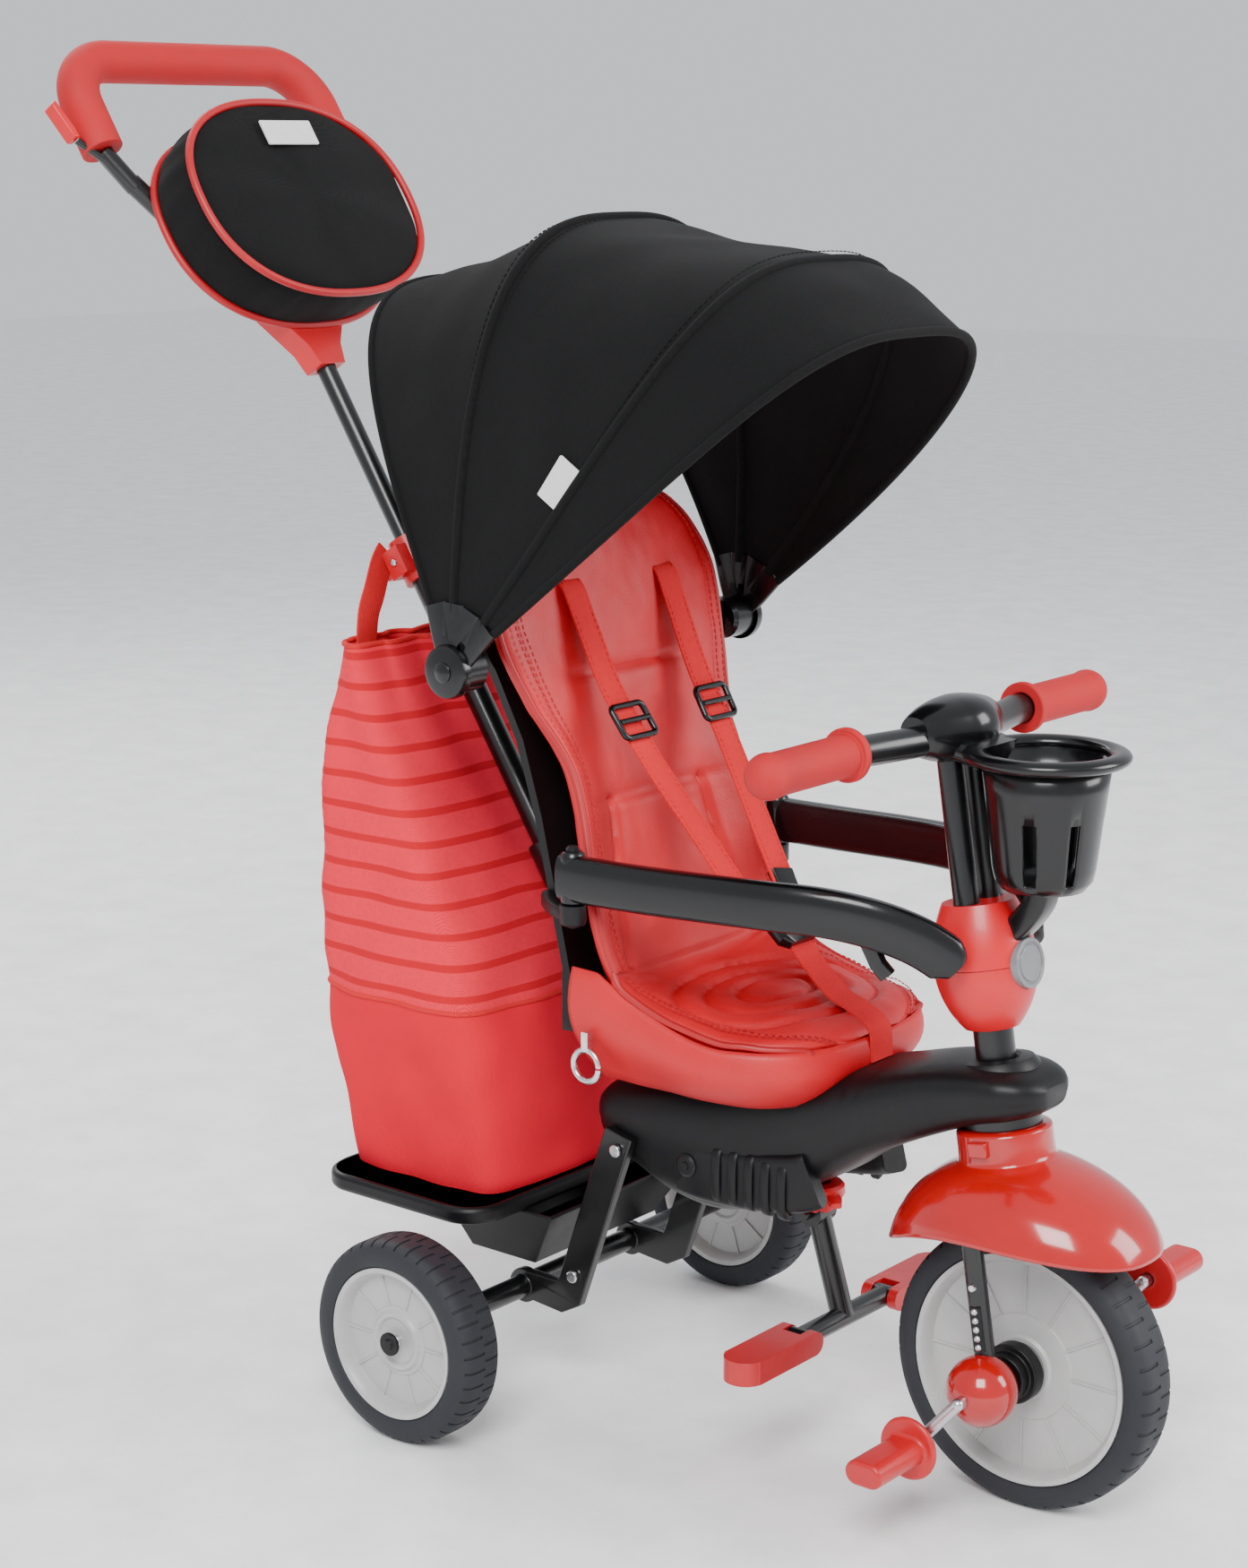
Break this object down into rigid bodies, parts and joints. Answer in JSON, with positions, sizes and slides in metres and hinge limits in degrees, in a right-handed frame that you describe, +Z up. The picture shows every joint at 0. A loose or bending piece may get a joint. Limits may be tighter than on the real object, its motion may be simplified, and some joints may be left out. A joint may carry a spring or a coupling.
{
  "type": "children's push tricycle",
  "caption": "Children's push tricycle with padded seat, folding canopy, swing-open safety bars, raked pedal front wheel, sliding parent handle, cup holder and bags.",
  "frame": {"origin": "middle of the overall box at ground level", "axes": "+X forward, +Z up, +Y to the tricycle's left"},
  "size_m": [0.9682, 0.4518, 1.0426],
  "materials": {
    "red_fabric": "woven",
    "red_webbing": "woven",
    "black_fabric": "woven",
    "black_plastic": "satin",
    "black_metal": "gloss",
    "red_gloss": "gloss",
    "red_matte": "satin",
    "red_foam": "soft",
    "grey_plastic": "satin",
    "badge_grey": "satin",
    "steel": "brushed",
    "zinc": "plated",
    "eva_tyre": "moulded"
  },
  "bodies": {
    "frame": {"casing_upper": "black_plastic", "casing_lower": "black_plastic", "head_tube": "steel", "rear_axle": "steel", "rear_frame": "black_metal", "tray": "black_plastic", "bucket": "black_plastic", "shopping_bag": "red_fabric", "bag_straps": "red_webbing", "mast_receiver": "black_metal", "mast_lower_tube": "black_metal", "mast_clamp": "red_matte", "frame_bolts": "steel", "seat_shell": "black_plastic", "seat_cushion": "red_fabric", "seat_skirt": "red_fabric", "harness_straps": "red_webbing", "harness_hardware": "black_plastic", "bar_pivots": "black_plastic", "canopy_brackets": "black_plastic", "canopy_rear": "black_fabric", "snap_hook": "steel", "footrest_ring": "red_matte"},
    "steering": {"fork": "black_metal", "steering_column": "black_metal", "egg_lower": "red_matte", "egg_upper": "red_matte", "egg_badge": "badge_grey", "handlebar": "black_metal", "handlebar_cover": "black_plastic", "hand_grips": "red_foam", "cup_holder": "black_plastic", "fender": "red_gloss", "hub_balls": "red_gloss"},
    "steering_lock_tab": {"fender_clip": "red_gloss"},
    "front_wheel": {"front_tyre": "eva_tyre", "front_rim": "grey_plastic", "clutch_hubs": "black_plastic", "crank": "zinc"},
    "right_pedal": {"pedal_right": "red_matte"},
    "left_pedal": {"pedal_left": "red_matte"},
    "right_rear_wheel": {"rear_tyre_right": "eva_tyre", "rear_rim_right": "grey_plastic", "hub_cap_right": "black_plastic"},
    "left_rear_wheel": {"rear_tyre_left": "eva_tyre", "rear_rim_left": "grey_plastic", "hub_cap_left": "black_plastic"},
    "push_handle": {"mast_upper_tube": "black_metal", "handle_yoke": "red_matte", "handle_arms": "black_metal", "handle_grip": "red_foam", "parent_bag": "black_fabric"},
    "handle_lever": {"handle_trigger": "red_matte"},
    "right_safety_bar": {"safety_bar_right": "black_plastic"},
    "left_safety_bar": {"safety_bar_left": "black_plastic"},
    "middle_canopy": {"canopy_middle": "black_fabric"},
    "front_canopy": {"canopy_front": "black_fabric"},
    "footrest": {"footrest_post": "black_metal"},
    "right_foot_peg": {"foot_peg_right": "red_matte"},
    "left_foot_peg": {"foot_peg_left": "red_matte"}
  },
  "joints": [
    {"name": "steering_turn", "type": "hinge", "parent": "frame", "child": "steering", "pos_m": [0.379, 0, 0.105], "axis": [-0.1616, 0, 0.9869], "range_deg": [-28, 28]},
    {"name": "steering_lock_slide", "type": "slide", "parent": "steering", "child": "steering_lock_tab", "axis": [-0.1616, 0, 0.9869], "range_m": [0, 0.004]},
    {"name": "front_wheel_spin", "type": "hinge", "parent": "steering", "child": "front_wheel", "pos_m": [0.379, 0, 0.105], "axis": [0, 1, 0], "continuous": true},
    {"name": "right_pedal_spin", "type": "hinge", "parent": "front_wheel", "child": "right_pedal", "pos_m": [0.34402, -0.13, 0.06525], "axis": [0, 1, 0], "continuous": true},
    {"name": "left_pedal_spin", "type": "hinge", "parent": "front_wheel", "child": "left_pedal", "pos_m": [0.41398, 0.13, 0.14475], "axis": [0, 1, 0], "continuous": true},
    {"name": "right_rear_wheel_spin", "type": "hinge", "parent": "frame", "child": "right_rear_wheel", "pos_m": [-0.044, -0.2034, 0.079], "axis": [0, 1, 0], "continuous": true},
    {"name": "left_rear_wheel_spin", "type": "hinge", "parent": "frame", "child": "left_rear_wheel", "pos_m": [-0.044, 0.2034, 0.079], "axis": [0, 1, 0], "continuous": true},
    {"name": "handle_height", "type": "slide", "parent": "frame", "child": "push_handle", "axis": [-0.5417, 0, 0.8406], "range_m": [-0.12, 0.03]},
    {"name": "handle_lever_squeeze", "type": "hinge", "parent": "push_handle", "child": "handle_lever", "pos_m": [-0.42819, -0.1565, 0.96505], "axis": [-0.8406, 0, -0.5417], "range_deg": [0, 7], "stiffness_Nm_per_rad": 0.3},
    {"name": "right_bar_swing", "type": "hinge", "parent": "frame", "child": "right_safety_bar", "pos_m": [0.056, -0.126, 0.437], "axis": [0, 0, -1], "range_deg": [0, 70]},
    {"name": "left_bar_swing", "type": "hinge", "parent": "frame", "child": "left_safety_bar", "pos_m": [0.056, 0.126, 0.437], "axis": [0, 0, 1], "range_deg": [0, 70]},
    {"name": "canopy_middle_fold", "type": "hinge", "parent": "frame", "child": "middle_canopy", "pos_m": [-0.019, 0, 0.588], "axis": [0, -1, 0], "range_deg": [0, 25]},
    {"name": "canopy_front_fold", "type": "hinge", "parent": "middle_canopy", "child": "front_canopy", "pos_m": [-0.019, 0, 0.588], "axis": [0, -1, 0], "range_deg": [0, 25]},
    {"name": "footrest_fold", "type": "hinge", "parent": "frame", "child": "footrest", "pos_m": [0.19, 0, 0.176], "axis": [0, 1, 0], "range_deg": [0, 60]},
    {"name": "right_peg_fold", "type": "hinge", "parent": "footrest", "child": "right_foot_peg", "pos_m": [0.214, -0.056, 0.097], "axis": [-1, 0, 0], "range_deg": [0, 80]},
    {"name": "left_peg_fold", "type": "hinge", "parent": "footrest", "child": "left_foot_peg", "pos_m": [0.214, 0.056, 0.097], "axis": [1, 0, 0], "range_deg": [0, 80]}
  ],
  "couplings": [
    {"joint": "canopy_front_fold", "follows": "canopy_middle_fold", "ratio": 1}
  ]
}
